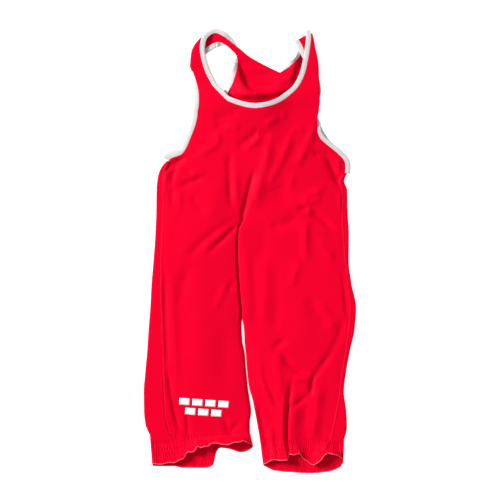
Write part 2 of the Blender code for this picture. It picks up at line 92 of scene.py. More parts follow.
Side = namedtuple("Side", "y left_edge left_seam right_seam right_edge")
SIDES = table(Side, [
    (160.2, -150.3, -146.7, 172, 178.2),
    (151.2, -158.4, -152.1, 172, 177.5),
    (138.6, -164.5, -155.2, 171.6, 174.8),
    (124.2, -167.4, -156.6, 163.8, 169.6),
    (108, -168.7, -156.1, 166.7, 175.1),
    (68.4, -169.2, -155.7, 166.7, 176),
    (25.2, -171, -157.9, 168.5, 178.2),
    (-18, -174.1, -159.3, 172.1, 177.8),
    (-61.2, -177.7, -160.2, 176.8, 182.9),
    (-104.4, -180, -158.9, 181.1, 191.2),
    (-144, -183.1, -157.9, 178.2, 188.3),
    (-180, -185.4, -156.6, 173.2, 180.4),
    (-219.6, -189, -155.2, 166.7, 173.2),
    (-255.6, -191.7, -153.7, 162, 169.2),
    (-291.6, -191.2, -151.2, 155.7, 173.7),
    (-313.2, -188.6, -147.6, 150.3, 174.6),
    (-333, -180, -142.2, 144, 169.2),
])
Inner = namedtuple("Inner", "y left right")
INSEAMS = table(Inner, [
    (57.6, -16.2, -16.2),
    (32.4, -23.4, -21.2),
    (7.2, -24.5, -22.3),
    (-34.2, -23.4, -21.2),
    (-88.2, -19.4, -17.3),
    (-122.4, -15.8, -13),
    (-144, -15.3, -10.4),
    (-165.6, -14, -9.4),
    (-183.6, -10.1, -7.4),
    (-216, -7.2, -5),
    (-246.6, -4.3, -1.3),
    (-270, -0.9, 5),
    (-291.6, 1.8, 9.5),
    (-313.2, -0.7, 14),
    (-333, -0.4, 18),
])
CENTRE = table(Inner, [
    (57.6, -16.2, -16.2),
    (90, -12.2, -12.2),
    (118.8, -5.4, -5.4),
    (145.8, 1.8, 1.8),
    (180, 5.4, 5.4),
    (216, 8.1, 8.1),
    (254.7, 9, 9),
])
FRONT_ARMHOLE = table(Inner, [
    (138.6, -155.2, 171.6),
    (151.2, -152.1, 172.4),
    (160.2, -146.7, 170.6),
    (166.3, -142.2, 166),
    (170.1, -126.9, 162),
    (176.4, -119.7, 155.7),
    (183.6, -115.2, 146.7),
    (190.8, -111.6, 137.7),
    (198, -108.9, 129.6),
    (208.8, -104.4, 123.3),
    (223.2, -99, 121.1),
    (237.6, -95.4, 121.5),
    (254.7, -93.6, 124.7),
    (268.2, -92.9, 125.3),
    (280.8, -93.1, 125.3),
    (295.2, -95.4, 124.9),
    (313.2, -99.9, 123.8),
    (324, -103.9, 123.5),
])
FRONT_NECK = table(Inner, [
    (254.7, 9, 9),
    (256, -3.6, 21.6),
    (259.2, -16.2, 36),
    (263.3, -28.8, 47.7),
    (268.2, -40.5, 57.1),
    (274.5, -47.2, 66.2),
    (280.8, -53.1, 73.8),
    (288, -59.8, 81.7),
    (295.2, -66.6, 87.5),
    (304.2, -71.6, 92.7),
    (313.2, -76.5, 96.8),
    (324, -81.4, 100.4),
])
BACK_ARMHOLE = table(Inner, [
    (138.6, -162.3, 172.6),
    (151.2, -156, 169),
    (160.2, -148.1, 165),
    (169.2, -126, 157),
    (183.6, -99, 144),
    (201.6, -79.2, 129.6),
    (223.2, -66.6, 118.8),
    (248.4, -56.7, 111.6),
    (270, -47.7, 106.2),
    (284.4, -39.6, 104.4),
    (298.8, -31.9, 104.4),
])
BACK_CENTRE = table(Inner, [
    (57.6, -16.2, -16.2),
    (160.2, 10, 10),
    (223.2, 32, 32),
    (298.8, 50, 50),
])

# A strap folded lengthwise: the fold's edge at (x, y), the cloth reaching from it in the direction of angle,
# upper over the fold and lower beneath it.
Fold = namedtuple("Fold", "x y angle upper lower top_z")
LEFT_STRAP = table(Fold, [
    (-105.7, 324, 0, 24.7, 0, 6),
    (-107.3, 332, 0, 23.4, 2.2, 6.8),
    (-107.2, 341, 2, 20.6, 8, 7.6),
    (-105.3, 356.4, 8, 15.8, 21.1, 8.2),
    (-100.3, 368.1, -4, 11, 25.6, 8.2),
    (-92.3, 378.4, -14.5, 4.4, 26.6, 7.6),
    (-84.1, 386.3, -32, -0.6, 25.6, 6.8),
])
RIGHT_STRAP = table(Fold, [
    (123.5, 324, 180, 23.1, 8.6, 7),
    (122.4, 338.4, 181, 19.3, 13.5, 7.5),
    (120.2, 351, 184, 14.7, 17.5, 8),
    (117, 363.6, 188, 9.8, 20.2, 8.2),
    (115, 376.2, 194, 6.2, 23, 8.2),
    (112.9, 385.2, 199, 3.6, 25.7, 8),
    (112, 390.2, 202, 2.6, 26.1, 7.6),
])
STRAPS = {"left": LEFT_STRAP, "right": RIGHT_STRAP}
STRAP_RISE = {
    "y": (254.7, 268.2, 281.0, 295.2, 313.2, 324.0),
    "left": (5.0, 5.1, 5.3, 5.5, 5.8, 6.0),
    "right": (5.0, 5.8, 6.4, 6.8, 6.9, 7.0),
    "left_turn": (-1.0, -1.0, -1.0, -0.8, -0.45, 0.0),
    "right_turn": (-0.8, 0.0, 1.6, 3.4, 5.6, 8.6),
}
# The racer back above the neck's V: a row from its armhole edge to its neck edge.
Lobe = namedtuple("Lobe", "arm_x arm_y arm_z neck_x neck_y neck_z")
LEFT_LOBE = table(Lobe, [
    (-27.4, 311.4, 0.6, 54, 319.7, 0.6),
    (-24.1, 325.8, 0.6, 37.8, 327.2, 3.5),
    (-22.7, 335.7, 0.8, 21.6, 335.5, 3.4),
    (-22.5, 342.9, 3.2, 6.3, 343.8, 3.4),
    (-24.1, 348.3, 3.4, -6.3, 351.9, 3.4),
    (-27, 353.7, 3.4, -17.1, 361.4, 3.4),
    (-33.3, 360, 3.4, -27, 369, 3.5),
    (-40.5, 366.3, 3.4, -37.8, 377.1, 4),
    (-47.7, 371.7, 3.4, -49.5, 386.1, 4.4),
    (-54.9, 374.8, 3.4, -62.1, 391, 4.4),
    (-60.3, 374, 3.4, -74.2, 390.6, 4.2),
])
RIGHT_LOBE = table(Lobe, [
    (104.6, 306, 0.6, 54, 319.7, 0.6),
    (108.9, 313.2, 0.6, 66.6, 327.1, 0.6),
    (111.6, 325.8, 0.6, 75.6, 334.8, 0.6),
    (114.3, 340.2, 0.6, 85.5, 344.7, 0.6),
    (115.2, 354.6, 0.6, 93.6, 358.2, 0.6),
    (113.8, 368.1, 0.6, 98.1, 370.8, 0.6),
    (110.2, 380.5, 0.6, 99.9, 380.7, 0.6),
    (109, 388, 1.8, 101.5, 387, 1.8),
])
LOBES = {"left": LEFT_LOBE, "right": RIGHT_LOBE}
# Each leg's band: its top line, and the front and back edges of its mouth, as (x, y). rise is how far the
# front edge of the mouth stands off the back, as (x, height).
BANDS = {
    "left": {
        "top": [(-180, -335), (0, -330)],
        "front": [(-176, -385), (-157, -384), (-140, -382), (-121, -375), (-113, -364), (-99, -360),
                  (-94, -353), (-76, -353), (-70, -347), (-63, -346), (-50, -349), (-31, -346),
                  (-14, -343), (-4, -345), (5, -353)],
        "back": [(-176, -389), (-137, -389), (-122, -392), (-79, -392), (-67, -387), (-60, -362), (-54, -356),
                 (-38, -358), (-16, -364), (-4, -361), (5, -355)],
        "rise": [(-176, 0), (-150, 2), (-122, 6), (-98, 10), (-82, 11), (-66, 6), (-50, 10), (-28, 11),
                 (-8, 6), (5, 0)],
        "gathers": 44,
    },
    "right": {
        "top": [(18, -341), (169, -343)],
        "front": [(24, -385), (34, -380), (47, -376), (67, -377), (72, -367), (88, -366), (96, -374),
                  (106, -382), (115, -386), (126, -377), (135, -368), (142, -364), (155, -368), (168, -377)],
        "back": [(24, -388), (44, -397), (74, -400), (107, -402), (140, -399), (162, -391), (169, -379)],
        "rise": [(24, 0), (40, 6), (58, 9), (74, 9), (88, 6), (100, 4), (109, 1.5), (120, 6), (136, 11),
                 (150, 10), (169, 0)],
        "gathers": 37,
    },
}
GATHER_HEIGHT = 0.55
UNDER_GATHERS = 0.25  # height of those on the underside
LEG_GATHER_HEIGHT = 0.7 * GATHER_HEIGHT
LEG_GATHER_FADE = 9.0  # how far they run up into the leg
GATHER_FADE = 8.0  # distance over which gathers and creases grow in from a side
MOUTH_SWELL = 1.0
MOUTH_WAVE = 0.9
ELASTIC_LINES = (0.3, 0.52, 0.74)  # how far down a band its rows of stitching draw it in
ELASTIC_DEPTH = 0.35
OVERLOCK_SIDES, OVERLOCK_RADIUS, OVERLOCK_PITCH = 8, 0.85, 1.9

# A crease runs from (x, y) past (bend_x, bend_y) to (end_x, end_y). It is a ridge, or a trough where its
# height is under 0. lean, from -1 to 1, makes it steep on one side: above 0, on the right of its direction.
Crease = namedtuple("Crease", "x y bend_x bend_y end_x end_y height width lean", defaults=(0,))
CREASES = table(Crease, [
    (-16, 50, -7, 86, 9, 151, -4, 4.5),  # from the crotch up to the right
    (4, 65, 22, 140, 43, 209, 3.4, 10, -0.2),
    (-36, 185, -40, 130, -32, 67, -2.6, 6),  # below the left chest
    (-25, 148, -27, 115, -22, 79, 1.2, 6),
    (-50, 196, -70, 184, -99, 166, 1.5, 7),  # across the left chest
    (-59, 214, -59, 202, -54, 189, 1.3, 6),
    (-68, 232, -43, 241, -18, 247, -1.3, 8),
    (-65, 220, -50, 225, -34, 227, -1.2, 6),
    (-50, 218, -32, 225, -16, 216, 1.2, 6),
    (-27, 185, 0, 196, 22, 221, -2.2, 8),  # across the right chest
    (-13, 178, 11, 193, 25, 214, 1.8, 6),
    (23, 220, 38, 234, 58, 239, 1.6, 6),
    (14, 209, 25, 205, 38, 207, -1.8, 6),
    (76, 214, 63, 169, 27, 104, 2.6, 7),
    (119, 232, 104, 187, 81, 146, 2.8, 7),
    (72, 209, 86, 225, 101, 212, 1.2, 6),
    (61, 252, 59, 243, 63, 234, 1, 5),
    (77, 142, 76, 122, 70, 104, 1.2, 6),
    (50, 122, 61, 99, 59, 74, -1.6, 16),
    (40, 198, 47, 180, 32, 158, -1.2, 8),
    (-169, 142, -140, 151, -112, 169, -4.5, 5.5),  # under the left armpit
    (-157, 97, -157, 130, -144, 148, 1.2, 5),
    (-142, 112, -140, 137, -131, 155, -1.8, 5),
    (-131, 112, -108, 121, -77, 133, -2, 6),  # left waist
    (-110, 133, -94, 142, -79, 131, 1.5, 6),
    (-128, 113, -126, 90, -128, 58, 1.2, 6),
    (-140, 115, -142, 97, -139, 79, -1.2, 5),
    (-104, 101, -99, 74, -76, 68, -1.2, 7),
    (-63, 126, -68, 90, -65, 45, 0.9, 14),
    (133, 180, 151, 148, 167, 108, -4.5, 7),  # right armpit
    (110, 171, 126, 176, 146, 166, -2.2, 6),
    (158, 166, 160, 148, 157, 126, 2, 4.5),
    (160, 104, 164, 85, 164, 65, 1.4, 4.5),
    (92, 79, 103, 101, 139, 110, 2, 7),  # right hip
    (97, 76, 112, 90, 133, 94, 1.4, 5),
    (85, 72, 95, 76, 106, 72, -2.6, 5),
    (103, 74, 126, 58, 158, 34, -3.6, 6),
    (104, 58, 94, 16, 106, -25, 2.2, 7),
    (92, 61, 65, 43, 32, 41, -1.9, 10),
    (121, 23, 135, 0, 155, -22, 1, 7),
    (126, 63, 144, 18, 144, -72, 0.9, 14),
    (-20, 58, -63, 38, -121, -22, -2, 8),  # from the crotch down the left thigh
    (-36, 41, -67, 20, -99, -4, 1.4, 7),
    (-16, 50, -43, 25, -81, -13, -2.8, 5.5),
    (-108, -20, -121, -63, -128, -112, -1.4, 10),
    (-153, -22, -153, -135, -146, -230, -1.6, 5),  # down the left leg, beside its side seam
    (-148, -207, -142, -279, -124, -331, -3.2, 5),
    (-139, -22, -139, -144, -130, -256, 1, 7),
    (-90, -22, -83, -126, -94, -270, 1, 22),
    (-50, -126, -43, -198, -47, -270, -0.9, 14),
    (-40, -56, -52, -83, -65, -112, 1, 6),
    (-25, -52, -34, -63, -40, -76, -1.4, 5),
    (-113, -288, -113, -311, -110, -337, -2, 4),
    (-50, -295, -41, -313, -38, -338, -1.6, 5),
    (-16, -308, -29, -322, -41, -342, -2, 6),
    (-167, -355, -144, -349, -124, -329, -1.8, 6),
    (-180, -324, -175, -342, -166, -353, -2, 5),
    (-9, 18, -2, -63, -2, -144, 1.2, 9),  # down the right leg
    (32, 63, 22, 18, 22, -36, -0.9, 12),
    (49, -22, 49, -90, 45, -157, -0.9, 9),
    (92, -18, 79, -40, 74, -72, 1.3, 7),
    (25, 18, 27, -72, 25, -171, 1.2, 11),
    (90, -72, 101, -144, 90, -180, 1, 20),
    (97, -86, 122, -110, 144, -140, -1.3, 10),
    (121, -86, 142, -122, 153, -151, 1.2, 8),
    (164, -32, 171, -72, 176, -130, -1.3, 4),
    (38, -178, 52, -173, 65, -157, -2, 6),  # right knee
    (54, -180, 70, -218, 112, -227, -3.2, 5),
    (77, -227, 97, -236, 117, -232, 1.6, 5),
    (167, -115, 166, -166, 130, -202, -1.6, 7),
    (149, -184, 124, -212, 112, -236, -2.6, 5),
    (115, -223, 110, -241, 110, -265, -3.8, 4),
    (110, -257, 90, -274, 68, -288, -2.4, 5),
    (77, -230, 70, -270, 67, -306, -4.4, 4, -0.3),  # the deep fold at the right hem
    (68, -241, 59, -324, 70, -407, 4.2, 16),
    (70, -266, 61, -324, 72, -400, -9.5, 3.3),
    (83, -245, 77, -320, 88, -385, 1.6, 7, 0.4),
    (124, -238, 121, -292, 110, -342, 2.8, 10),
    (101, -277, 99, -293, 99, -313, -1, 6),
    (175, -283, 164, -293, 153, -301, -2.2, 5),
    (157, -320, 142, -351, 126, -374, -3.4, 5),
    (13, -274, 25, -313, 31, -355, -2.6, 5),
    (38, -306, 40, -342, 40, -378, 2, 5),
    (49, -176, 52, -225, 56, -274, 1.4, 7),
    (9, -176, 23, -245, 54, -306, 1.6, 7),
    (20, -209, 32, -252, 56, -295, -1.4, 5),
])
# The back's creases, which lift it off the table. The first of them show inside the neck.
BACK_CREASES = table(Crease, [
    (-24, 358, -26, 264, 40, 283, 6.4, 11, -0.6),
    (-40, 284, 22, 272, 82, 297, 5.8, 9.5, 0.38),
    (66, 294, 80, 322, 88, 370, 5.0, 8, 0.3),
    (30, 340, 54, 318, 66, 296, 2.4, 11),
    (30, 250, 50, 190, 20, 130, 1.2, 12),
    (-90, 150, -60, 100, -90, 40, 1.2, 11),
    (110, 150, 90, 90, 110, 30, 1.2, 11),
    (-30, 60, -60, 30, -110, 10, 1.4, 9),
    (-4, 60, 40, 40, 90, 30, 1.4, 9),
    (-100, -20, -110, -140, -92, -260, 1.3, 13),
    (-60, -90, -50, -180, -60, -310, 1.2, 11),
    (60, -20, 50, -140, 66, -280, 1.3, 13),
    (120, -60, 110, -170, 120, -310, 1.2, 11),
])
CREASE_STEP = 8.0
CREASE_TAPER = 0.3  # share of a crease's length over which it grows in at each end
CREASE_FADE = 5.0
DOME = 3.6  # how far the front swells between its seams
DOME_WIDTH = 36.0
LOWEST_FRONT = 2.0  # the front's troughs stay clear of the back
CLAMP = 0.4  # how softly they stop there

HEM_ROWS = (0.0, 0.3, 2.5)  # the lowest rows, above the hem
LEG_ROWS = 130
BODY_ROWS = 66
NECK_ROWS = 30
STRAP_ROWS = 34
LOBE_ROWS = {"left": 56, "right": 44}
BRIDGE_ROWS = 8  # between the body and the lobe
BAND_ROWS = 32
BAND_TOP_ROWS = (0.035, 0.007, 0.0)  # the shares of a band's height at which its last rows lie
FRONT_COLUMNS = 84
TOP_STEPS, TURN_STEPS, BAND_TURN_STEPS = 8, 14, 8
BACK_COLUMNS = 40
UPPER_COLUMNS = 2 * BACK_COLUMNS - 1  # of the back above its armpits, part of which shows
GATHER_COLUMNS = 9
EDGE_CROWDING = 0.55  # how much closer the front's columns lie at its edges
SAME_POINT = 0.01
WELD = 0.02

# A binding's section, from its inner edge over its top to its outer edge: how far across it, and how far up.
# The dip near the inner edge holds the stitching.
BINDING_TOP = np.array([(-0.07, 0.62), (0, 0.86), (0.07, 0.96), (0.15, 0.93), (0.2, 0.78), (0.25, 0.93),
                        (0.36, 1), (0.55, 1.02), (0.74, 0.97), (0.88, 0.8), (0.97, 0.45)])
STITCH_ACROSS = 0.2
BINDING_FLAT = 0.01  # width of one face of a folded binding, in metres
RING_SPACING = 1.6
OFF_FLOOR = 0.05
DOWN_FIRST = 0.35  # the share of a tuck in which a binding goes down, before it goes in
TUCK_DEPTH = 1.15 * (CLOTH + BINDING_THICK + SEAM_GAP) / 2
# How far each front armhole's binding is turned under, as (y, tuck). Under 0, it spreads.
ARMHOLE_TUCKS = {
    "left": [(160, -0.9), (168, -0.8), (176, -0.2), (190, 0), (296, 0), (312, 0.3), (321, 0.8), (328, 1),
             (338, 0.7), (346, 0)],
    "right": [(214, 0), (226, 0.35), (238, 0.8), (248, 1), (310, 1), (335, 0)],
}
ARM_TUCKS = (0, 0, 0, 0.35, 0.8, 1, 1, 1, 0.6, 0.2, 0, 0)  # at each of the left lobe's rows and the shoulder
NECK_TUCKS = (1, 1, 1, 1, 1, 1, 0.7, 0.3, 0, 0, 0, 0)
LEFT_NECK_ROWS = 52  # rows of the lobe before the binding leaves its edge and turns over the shoulder
LEFT_SHOULDER = np.array([(-68.5, 388.8, 5.6), (-74.5, 384.5, 7.4), (-79, 378, 9.2), (-81.5, 368, 9.9)])
RIGHT_NECK_TIP = np.array([(108.6, 393.0, 7.6), (107.2, 397.0, 7.6)])
FRONT_INNER, BACK_INNER, VEE_INNER = -6, 6, -15  # columns whose points show which way an edge faces

Stitch = namedtuple("Stitch", "pitch gap radius")
BINDING_STITCH = Stitch(2.6, 0.22, 0.24)
SEAM_STITCH = Stitch(2.8, 0.25, 0.22)
STITCH_SIDES = 6
STITCH_PROFILE = ((0.0, 0.25), (0.18, 0.9), (0.5, 1.0), (0.82, 0.9), (1.0, 0.25))
SEAM_WIDTH, SEAM_RISE = 4.0, 0.3
SEAM_PROFILE = ((-0.5, -0.5), (-0.4, 0.55), (-0.15, 1.0), (0.15, 1.0), (0.4, 0.55), (0.5, -0.5))

BLOCK = (18.5, 12.0)  # a print of plain blocks laid like bricks
BLOCK_GAP = 5.0
PRINT_AT = (-83.0, -281.0)
PRINT_ROWS = (4, 3)
PRINT_TILT = -4.0
PRINT_LIFT, PRINT_THICK = 0.08, 0.16

RED = (0.78, 0.0002, 0.0225)
WHITE = (0.68, 0.62, 0.63)
SEAM_THREAD = (0.9, 0.016, 0.06)
OVERLOCK_THREAD = (0.95, 0.12, 0.17)
WHITE_THREAD = (0.62, 0.58, 0.59)
THREAD_PITCH = 0.0009
FLOOR_GLOW, FLOOR_REACH = 0.6, 6.0
WORLD_LIGHT = 0.36
CAMERA_HEIGHT, CAMERA_VIEW = 2.6, 0.9


# ---- lines and curves


def smooth_at(xs, ys, at):
    """A curve through (xs, ys) with no overshoot, read at one place or many. xs rises or falls."""
    xs, ys = np.asarray(xs, float), np.asarray(ys, float)
    if xs[0] > xs[-1]:
        xs, ys = xs[::-1], ys[::-1]
    at = np.clip(at, xs[0], xs[-1])
    steps = np.diff(xs)
    slopes = np.diff(ys) / steps
    before, after = slopes[:-1], slopes[1:]
    same = before * after > 0
    safe = np.where(same, before + after, 1.0)
    tangents = np.concatenate([slopes[:1], np.where(same, 2 * before * after / safe, 0.0), slopes[-1:]])
    i = np.clip(np.searchsorted(xs, at, side="right") - 1, 0, len(steps) - 1)
    t = (at - xs[i]) / steps[i]
    start = (1 + 2 * t) * (1 - t) ** 2 * ys[i] + t * (1 - t) ** 2 * steps[i] * tangents[i]
    return start + t * t * (3 - 2 * t) * ys[i + 1] + t * t * (t - 1) * steps[i] * tangents[i + 1]


def read(rows, column, y):
    return smooth_at([row.y for row in rows], [getattr(row, column) for row in rows], y)


def follow(points, x):
    """A short line of (x, value) points, read at each x."""
    return smooth_at(*zip(*points), x)


def between(rows, steps):
    """Rows of a table read at even steps from its first row to its last."""
    places = range(len(rows))
    kind = type(rows[0])
    for step in range(steps + 1):
        at = step * (len(rows) - 1) / steps
        yield kind(*(float(smooth_at(places, column, at)) for column in zip(*rows)))


def ease(t):
    t = np.clip(t, 0.0, 1.0)
    return t * t * (3 - 2 * t)


def bell(t):
    return np.exp(-(t**2))


def travelled(points, axis=0):
    """How far each point lies along its line."""
    start = np.take(points, [0], axis)
    return np.cumsum(np.linalg.norm(np.diff(points, axis=axis, prepend=start), axis=-1), axis=axis)


def unit(vectors):
    return vectors / (np.linalg.norm(vectors, axis=-1, keepdims=True) + 1e-9)


def smoothed(points, passes):
    points = np.array(points, float)
    for _ in range(passes):
        points[1:-1] = (points[:-2] + 2 * points[1:-1] + points[2:]) / 4
    return points


def resample(points, spacing, *others):
    """The line with a point every spacing millimetres, and whatever else is given at the same places."""
    reach = travelled(np.asarray(points, float))
    kept = np.append(True, np.diff(reach) > SAME_POINT)
    reach = reach[kept]
    at = np.linspace(0, reach[-1], max(int(reach[-1] / spacing), 4) + 1)

    def spread(values):
        values = np.asarray(values, float)[kept]
        if values.ndim == 1:
            return np.interp(at, reach, values)
        return np.column_stack([np.interp(at, reach, column) for column in values.T])

    return [spread(values) for values in (points, *others)]


# ---- creases


def crease_path(crease):
    start, bend, end = np.array(crease[:6], float).reshape(3, 2)
    t = np.linspace(0, 1, 8 + int(np.linalg.norm(end - start) / CREASE_STEP))[:, None]
    return (1 - t) ** 2 * start + 2 * t * (1 - t) * bend + t**2 * end


def crease_lift(creases, x, y):
    """How far these creases lift the cloth at each (x, y)."""
    total = np.zeros(np.shape(x))
    for number, crease in enumerate(creases):
        path = crease_path(crease)
        reach = 3 * crease.width
        near = (x > path[:, 0].min() - reach) & (x < path[:, 0].max() + reach)
        near &= (y > path[:, 1].min() - reach) & (y < path[:, 1].max() + reach)
        px, py = x[near], y[near]
        best = np.full(px.shape, np.inf)
        off, along = np.zeros(px.shape), np.zeros(px.shape)
        for k, (low, high) in enumerate(zip(path, path[1:])):
            dx, dy = high - low
            length = math.hypot(dx, dy)
            t = np.clip(((px - low[0]) * dx + (py - low[1]) * dy) / length**2, 0, 1)
            away = np.hypot(px - low[0] - t * dx, py - low[1] - t * dy)
            side = np.sign((px - low[0]) * dy - (py - low[1]) * dx)
            closer = away < best
            best = np.where(closer, away, best)
            off = np.where(closer, away * side, off)
            along = np.where(closer, (k + t) / (len(path) - 1), along)
        width = crease.width * np.where(off > 0, 1 - crease.lean, 1 + crease.lean)
        taper = ease(along / CREASE_TAPER) * ease((1 - along) / CREASE_TAPER)
        uneven = 1 + 0.18 * np.sin(7 * along + number) + 0.08 * np.sin(17 * along + 2 * number)
        total[near] += crease.height * taper * uneven * bell(off / width)
    return total


# ---- the front


def shares(count):
    """Places from 0 to 1, drawn towards both ends."""
    t = np.linspace(0, 1, count)
    return t - EDGE_CROWDING * np.sin(2 * np.pi * t) / (2 * np.pi)


def bend_to_hem(side, x, y):
    """The lowest rows of a leg bend until the last one follows the top of its band."""
    share = (1 - np.clip((y - HEM_Y) / HEM_BEND, 0, 1)) ** HEM_BEND_POWER
    return y + share * (follow(BANDS[side]["top"], x) - HEM_Y)


def body_rows():
    """Where a half's rows lie, from the hem to the base of the neck, with one of them at each armpit."""
    leg = np.linspace(HEM_Y + HEM_ROWS[2], CROTCH_Y, LEG_ROWS)
    upper = np.linspace(CROTCH_Y, NECK_BASE_Y, BODY_ROWS + 1)[1:]
    for armpit in ARMPIT_Y.values():
        upper[np.argmin(abs(upper - armpit))] = armpit
    return np.concatenate([[HEM_Y + HEM_ROWS[0], HEM_Y + HEM_ROWS[1]], leg, upper])


def front_outer(side, y):
    seam = read(SIDES, side + "_seam", y) - OUTWARD[side] * HALF_SEAM
    return np.where(y >= ARMPIT_Y[side], read(FRONT_ARMHOLE, side, y), seam)


def overlapping(y):
    """How far, from 0 to 1, the right leg's edge lies over the left one's."""
    return ease((y - OVERLAP_FROM) / 20) * ease((OVERLAP_TO + 12 - y) / 24)


def middle(side, y, centre):
    """The inner edge of a half: its inseam, and above the crotch the line where the halves meet."""
    inner = read(INSEAMS, side, y)
    if side == "right":
        over = read(INSEAMS, "left", y) - (LEG_OVERLAP if centre is CENTRE else BACK_LEG_OVERLAP)
        inner = inner + overlapping(y) * (over - inner)
    bow = SLIT_BOW * ease((y - OVERLAP_FROM) / 30) * ease((BOW_TO - y) / 70)
    return np.where(y < CROTCH_Y, inner, read(centre, side, y)) + bow


def gather_rib(side, share, down=0.0):
    """A band's upright gathers, about -1 to 1, at each share of its width. They are uneven, and wander."""
    turns = share * BANDS[side]["gathers"] + 0.8 * np.sin(share * 13 + 2 * down)
    turns = turns + 0.45 * np.sin(share * 31 + 2) + 0.3 * np.sin(share * 71 + 5 * down)
    rib = np.sin(2 * np.pi * turns) * (0.62 + 0.38 * np.sin(share * 37 + 3 * down))
    return rib + 1.1 * np.sin(share * 47 + 1.5 * down) * np.sin(share * 19 + 1) * (0.4 + 0.6 * down)


def gathers_above(side, x, y):
    """The leg's own cloth is puckered where the band draws it in."""
    (low, _), (high, _) = BANDS[side]["top"]
    share = (x - low - TURN_RADIUS) / (high - low - 2 * TURN_RADIUS)
    return LEG_GATHER_HEIGHT * gather_rib(side, share) * np.exp(-((y - HEM_Y) / LEG_GATHER_FADE))


def above_back(z):
    """Troughs stop softly above the back."""
    return LOWEST_FRONT + np.logaddexp(0, (z - LOWEST_FRONT) / CLAMP) * CLAMP


def front_height(side, x, y):
    """The middle of the front's cloth at each place between the hem and the base of the neck."""
    outer, inner = front_outer(side, y), middle(side, y, CENTRE)
    from_side, from_middle = abs(x - outer), abs(x - inner)
    below_neck = ease((NECK_BASE_Y - y) / 60)
    in_leg = ease((CROTCH_Y + 60 - y) / 80)
    dome = (1 - np.exp(-from_side / DOME_WIDTH)) * (1 - in_leg * np.exp(-from_middle / DOME_WIDTH))
    z = FRONT_Z + (DOME * dome * ease((y - HEM_Y) / 90) - FRONT_SAG * ease(from_side / 30)) * below_neck
    z = above_back(z + crease_lift(CREASES, x, y) * ease(from_side / CREASE_FADE))
    z += gathers_above(side, x, y) * ease(from_side / GATHER_FADE)
    over = overlapping(y)
    edge_z, low, turn = INSEAM["left"].z, 0.0, INSEAM[side].round
    if side == "right":
        edge_z = edge_z + (INSEAM[side].z - edge_z) * over
        z = z + OVERLAP_LIFT * over * bell(from_middle / OVERLAP_WIDTH)
    else:
        low, turn = SLIT * over, turn + (SLIT_ROUND - turn) * over
    rounding = np.sqrt(1 - (1 - np.clip((from_middle - low) / turn, 0, 1)) ** 2)
    return np.where(y <= CROTCH_Y, edge_z + (z - edge_z) * rounding, z)


def front_body(side):
    y = body_rows()[:, None]
    outer, inner = front_outer(side, y), middle(side, y, CENTRE)
    x = outer + shares(FRONT_COLUMNS)[None] * (inner - outer)
    y = np.broadcast_to(y, x.shape)
    return np.dstack([x, bend_to_hem(side, x, y), front_height(side, x, y)])


def folded_row(fold, at):
    """Points of a strap folded lengthwise, at these shares of the way from its armhole edge to its neck."""
    radius = (fold.top_z - UNDER_Z) / 2
    quarter = math.pi * radius / 2

    def length(reach):
        if abs(reach) < radius:
            return quarter * reach / radius
        return reach + math.copysign(quarter - radius, reach)

    runs = length(fold.lower) - at * (length(fold.lower) + length(fold.upper))
    turning = abs(runs) <= quarter
    inwards = np.where(turning, radius - radius * np.cos(runs / radius), radius + abs(runs) - quarter)
    z = np.where(turning, -radius * np.sin(runs / radius), -np.copysign(radius, runs))
    angle = math.radians(fold.angle)
    across = np.array([math.cos(angle), math.sin(angle)])
    flat = np.array([fold.x, fold.y]) + inwards[:, None] * across
    return np.column_stack([flat, UNDER_Z + radius + z])


def front_neck(side):
    """Rows between the base of the neck and the straps' folds."""
    rows = []
    places = np.linspace(0, len(FRONT_NECK) - 1, NECK_ROWS + 1)[1:-1]
    for y in smooth_at(range(len(FRONT_NECK)), [row.y for row in FRONT_NECK], places):
        outer, neck = float(read(FRONT_ARMHOLE, side, y)), float(read(FRONT_NECK, side, y))
        top, lower = (float(np.interp(y, STRAP_RISE["y"], STRAP_RISE[side + end])) for end in ("", "_turn"))
        angle = 0.0 if side == "left" else 180.0
        rows.append(folded_row(Fold(outer, y, angle, abs(outer - neck), lower, top), shares(FRONT_COLUMNS)))
    return np.array(rows)


def neck_lift(x, y):
    """How far a ring of cloth round the neck stands off the back. It fades up the straps and to the right."""
    ring = np.hypot((x - NECK_RING.x) / NECK_RING.across, (y - NECK_RING.y) / NECK_RING.along)
    lift = NECK_RING.height * bell((ring - 1) / NECK_RING.width) * ease((NECK_RING.top - y) / 40)
    return lift * (1 - 0.75 * ease((x - 20) / 60))


def front_grid(side):
    strap = np.array([folded_row(fold, shares(FRONT_COLUMNS)) for fold in between(STRAPS[side], STRAP_ROWS)])
    grid = np.concatenate([front_body(side), front_neck(side), strap])
    grid[..., 2] += neck_lift(grid[..., 0], grid[..., 1])
    return grid


# ---- the back


def back_wrap(side, y):
    """Rows from the side seam on top, round the side's turn, to the inseam or the middle on the table."""
    y = y[:, None]
    seam = read(SIDES, side + "_seam", y) + OUTWARD[side] * HALF_SEAM
    turn = read(SIDES, side + "_edge", y) - OUTWARD[side] * (TURN_RADIUS + CLOTH / 2 + TURN_GAP)
    inner = middle(side, y, BACK_CENTRE)
    angles = np.pi * np.linspace(0, 1, TURN_STEPS + 1)[None]
    top = seam + np.linspace(0, 1, TOP_STEPS + 1)[None, :-1] * (turn - seam)
    round_x = turn + OUTWARD[side] * TURN_RADIUS * np.sin(angles)
    flat = turn + np.linspace(0, 1, BACK_COLUMNS)[None, 1:] * (inner - turn)
    x = np.hstack([top, round_x, flat])
    round_z = TABLE_Z + TURN_RADIUS + TURN_RADIUS * np.cos(angles[0])
    z = np.hstack([np.full(top.shape[1], FRONT_Z), round_z, np.full(flat.shape[1], TABLE_Z)])
    y = np.broadcast_to(y, x.shape)
    return np.dstack([x, bend_to_hem(side, x, y), np.broadcast_to(z[None], x.shape)])


